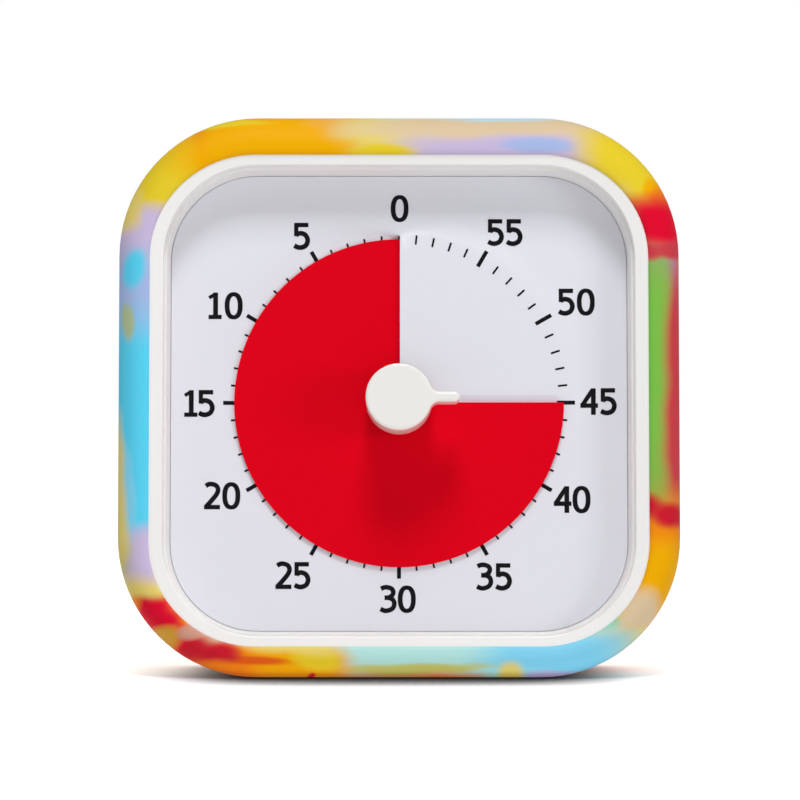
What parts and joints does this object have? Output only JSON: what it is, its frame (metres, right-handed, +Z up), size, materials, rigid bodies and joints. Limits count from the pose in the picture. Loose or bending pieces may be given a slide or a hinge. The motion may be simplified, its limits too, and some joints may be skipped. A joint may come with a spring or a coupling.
{
  "type": "visual timer",
  "caption": "Square desk timer with round corners: a red disc sweeps a numbered dial behind a clear window, set by a central knob, in a soft marbled cover.",
  "frame": {"origin": "table level, at the middle of the footprint box", "axes": "+Z up, +X to the right as the face is read, -Y out of the face, which leans back 5 degrees"},
  "size_m": [0.09, 0.0484, 0.0897],
  "materials": {
    "marbled_silicone": "matt, marbled in yellow, orange, red, green, blue and lavender",
    "white_abs": "satin",
    "dial_white": "matt, printed scale",
    "red_film": "satin",
    "clear_acrylic": "clear, polished plastic",
    "knob_white": "satin",
    "grey_abs": "moulded",
    "gear_nylon": "moulded",
    "steel": "plain",
    "copper": "enamelled wire and spring metal",
    "rotor_nylon": "moulded",
    "board_green": "solder mask",
    "black_plastic": "moulded",
    "battery_sleeve": "plain sleeve"
  },
  "bodies": {
    "case": {"silicone_cover": "marbled_silicone", "front_housing": "white_abs", "rear_housing": "white_abs", "lens": "clear_acrylic", "case_screw_1": "steel", "case_screw_2": "steel", "case_screw_3": "steel", "case_screw_4": "steel", "dial": "dial_white", "alarm_contact": "copper", "movement_plate": "grey_abs", "movement_case": "grey_abs", "movement_screw_1": "steel", "movement_screw_2": "steel", "stator": "steel", "coil_core": "steel", "coil_winding": "copper", "battery": "battery_sleeve", "plus_contact": "steel", "minus_contact_plate": "steel", "battery_spring": "steel", "circuit_board": "board_green", "board_screw_1": "steel", "board_screw_2": "steel", "control_chip": "black_plastic", "quartz_crystal": "steel", "buzzer": "black_plastic", "sound_switch_body": "steel"},
    "knob": {"knob": "knob_white", "centre_arbor": "steel", "alarm_cam": "black_plastic", "clutch_spring": "steel"},
    "disc": {"red_disc": "red_film", "disc_edge_strip": "clear_acrylic"},
    "centre_wheel": {"centre_wheel": "gear_nylon"},
    "third_wheel": {"third_wheel": "gear_nylon"},
    "seconds_wheel": {"seconds_wheel": "gear_nylon"},
    "step_wheel": {"step_wheel": "gear_nylon"},
    "rotor": {"rotor": "rotor_nylon"},
    "sound_switch": {"sound_switch_cap": "black_plastic"},
    "battery_door": {"battery_door": "white_abs"}
  },
  "joints": [
    {"name": "knob_turn", "type": "hinge", "parent": "case", "child": "knob", "pos_m": [0, -0.01206, 0.0438], "axis": [0, -0.9962, 0.0872], "range_deg": [-270, 90]},
    {"name": "disc_follow", "type": "slide", "parent": "knob", "child": "disc", "axis": [0, -0.9962, 0.0872], "range_m": [-0.00091, 0.00031]},
    {"name": "centre_turn", "type": "hinge", "parent": "case", "child": "centre_wheel", "pos_m": [0, -0.01206, 0.0438], "axis": [0, -0.9962, 0.0872], "continuous": true},
    {"name": "third_turn", "type": "hinge", "parent": "case", "child": "third_wheel", "pos_m": [0.0054, 0.0027, 0.0519], "axis": [0, -0.9962, 0.0872], "continuous": true},
    {"name": "seconds_turn", "type": "hinge", "parent": "case", "child": "seconds_wheel", "pos_m": [0.01377, 0.00257, 0.05043], "axis": [0, -0.9962, 0.0872], "continuous": true},
    {"name": "step_turn", "type": "hinge", "parent": "case", "child": "step_wheel", "pos_m": [0.01499, 0.00197, 0.04356], "axis": [0, -0.9962, 0.0872], "continuous": true},
    {"name": "rotor_turn", "type": "hinge", "parent": "case", "child": "rotor", "pos_m": [0.01415, 0.00156, 0.03885], "axis": [0, -0.9962, 0.0872], "continuous": true},
    {"name": "sound_switch_slide", "type": "slide", "parent": "case", "child": "sound_switch", "axis": [1, 0, 0], "range_m": [0, 0.003]},
    {"name": "battery_door_tilt", "type": "hinge", "parent": "case", "child": "battery_door", "pos_m": [0, 0.01827, 0.01645], "axis": [-1, 0, 0], "range_deg": [0, 70]}
  ],
  "couplings": [
    {"joint": "disc_follow", "follows": "knob_turn", "m_per_rad": 0.00019099},
    {"joint": "third_turn", "follows": "centre_turn", "ratio": -8},
    {"joint": "seconds_turn", "follows": "centre_turn", "ratio": 60},
    {"joint": "step_turn", "follows": "centre_turn", "ratio": -360},
    {"joint": "rotor_turn", "follows": "centre_turn", "ratio": 1800}
  ]
}
